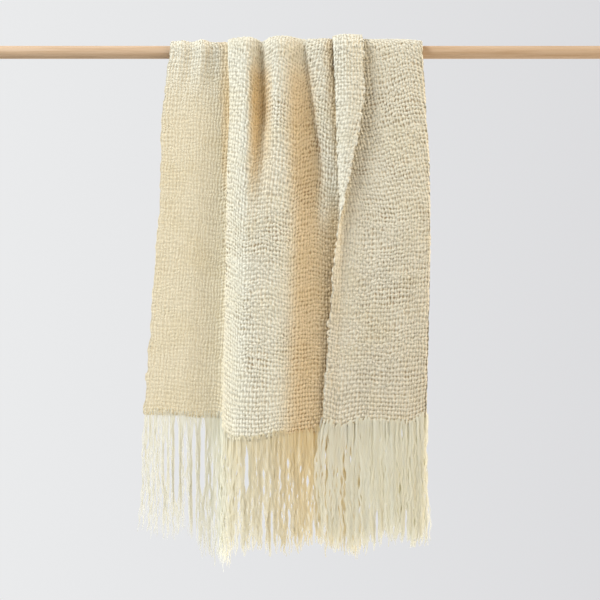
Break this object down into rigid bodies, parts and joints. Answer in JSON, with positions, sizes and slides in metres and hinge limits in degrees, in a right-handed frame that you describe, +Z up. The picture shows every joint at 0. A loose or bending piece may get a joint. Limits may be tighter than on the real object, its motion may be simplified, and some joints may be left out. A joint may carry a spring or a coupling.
{
  "type": "wool blanket on a wooden rod",
  "caption": "Chunky hand-woven cream wool blanket with long fringed ends, draped in soft folds over a plain round wooden rod.",
  "frame": {"origin": "centre of the rod's left end face, on the rod's axis", "axes": "+X along the rod towards its right end as seen from the front, +Y away from the viewer, +Z up"},
  "size_m": [1.38, 0.1416, 1.1308],
  "materials": {
    "wool": "matt woven wool",
    "fringe_wool": "loose matt wool yarn",
    "rod_wood": "bare, fine sanded"
  },
  "bodies": {
    "root": {"rod": "rod_wood", "blanket": "wool", "fringe_front": "fringe_wool", "fringe_back": "fringe_wool"}
  },
  "joints": []
}
